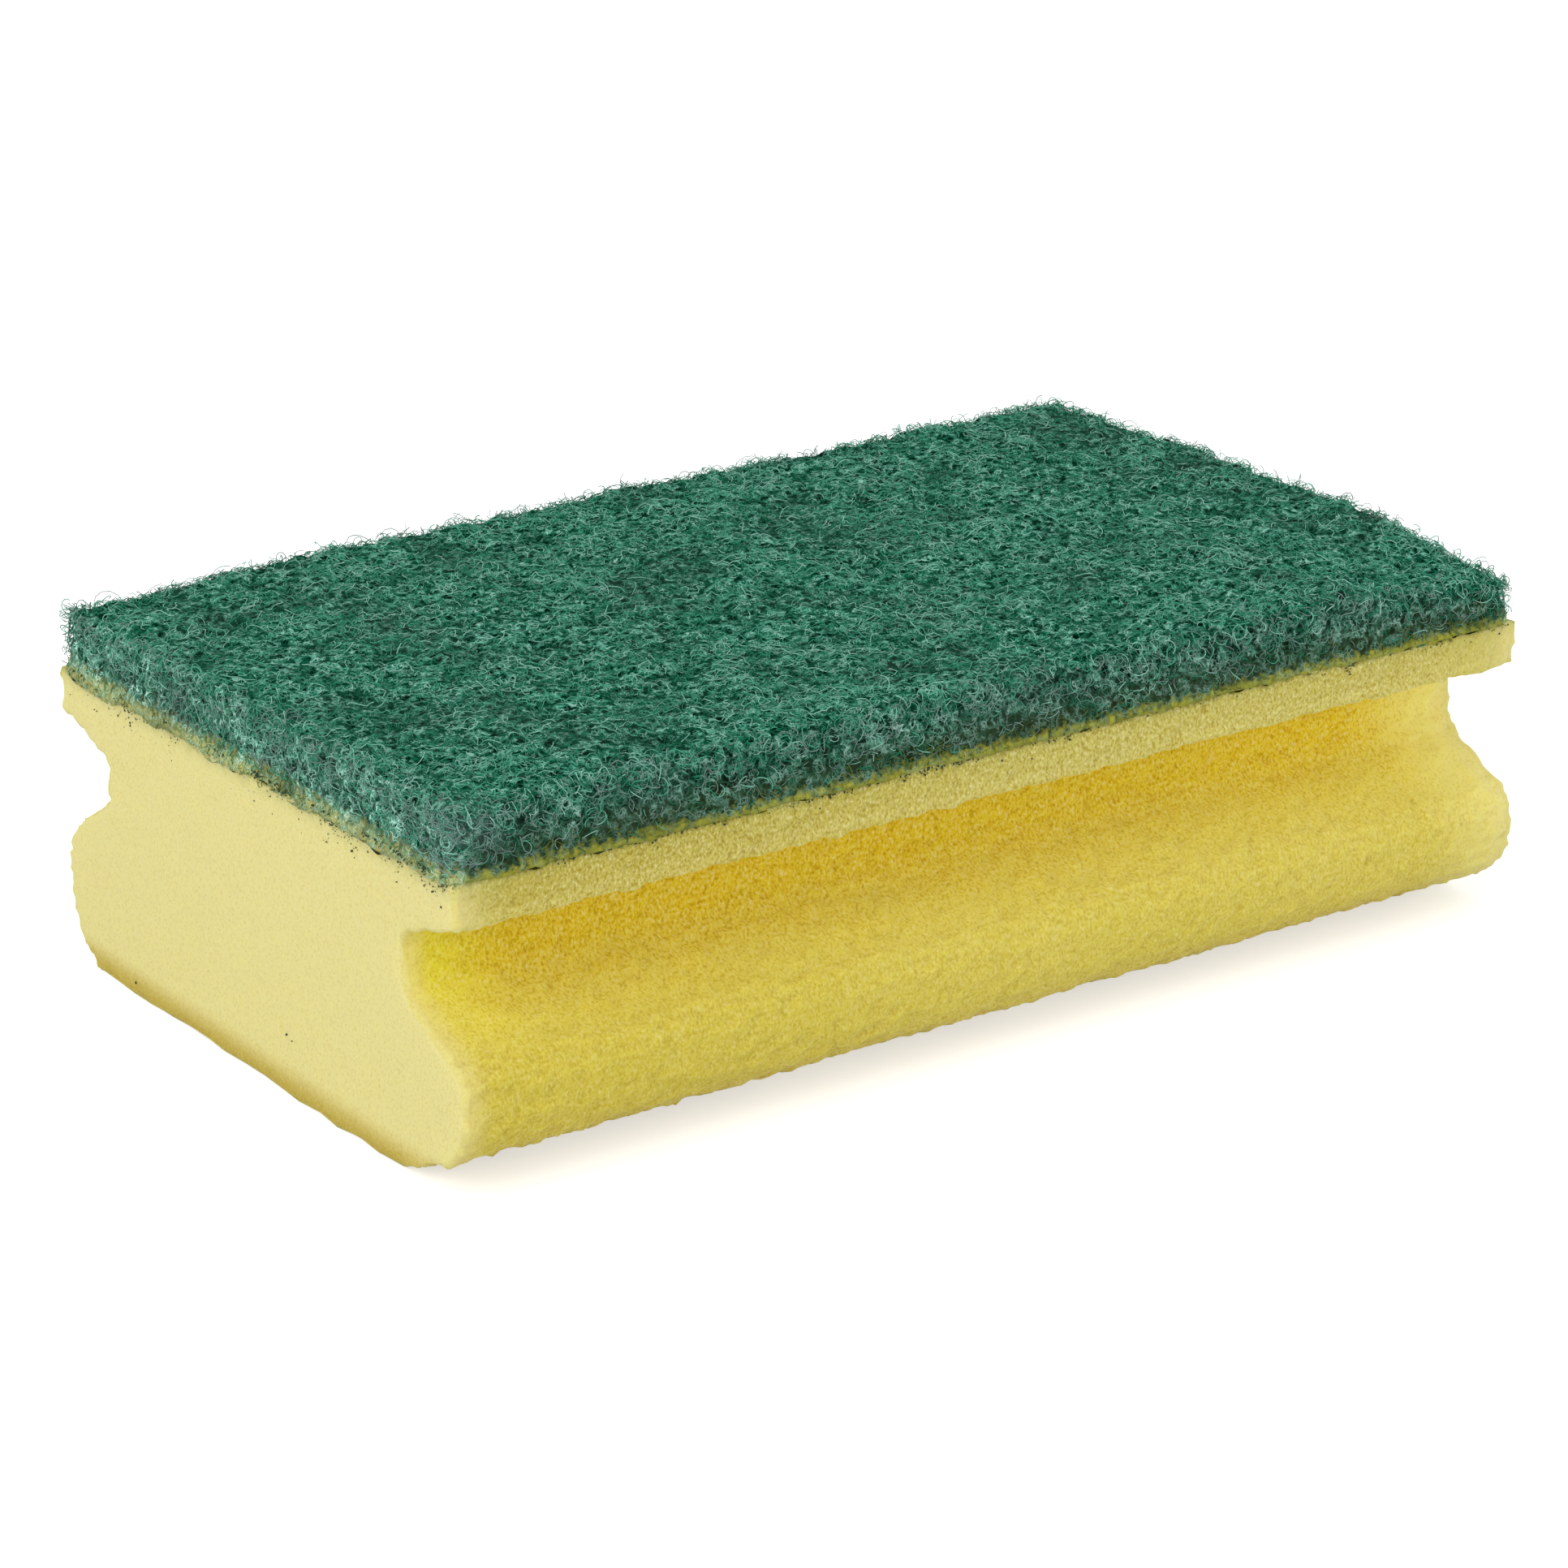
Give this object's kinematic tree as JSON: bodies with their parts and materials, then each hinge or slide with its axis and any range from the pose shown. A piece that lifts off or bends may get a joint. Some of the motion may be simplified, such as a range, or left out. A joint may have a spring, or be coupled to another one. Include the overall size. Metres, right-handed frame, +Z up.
{
  "type": "cleaning sponge",
  "caption": "Grip sponge: a soft foam block with a finger groove along each long side, and a rough non-woven scouring pad bonded to its top.",
  "frame": {"origin": "middle of the underside, on the surface that the sponge stands on", "axes": "+X along the sponge to its right end, +Y from the front groove to the back groove, +Z up through the foam to the pad"},
  "size_m": [0.15, 0.0916, 0.0455],
  "materials": {
    "foam": "open-cell polyurethane foam, knife-cut",
    "pad": "resin-bonded non-woven fibre web"
  },
  "bodies": {
    "root": {"foam_block": "foam", "scouring_pad": "pad"}
  },
  "joints": []
}
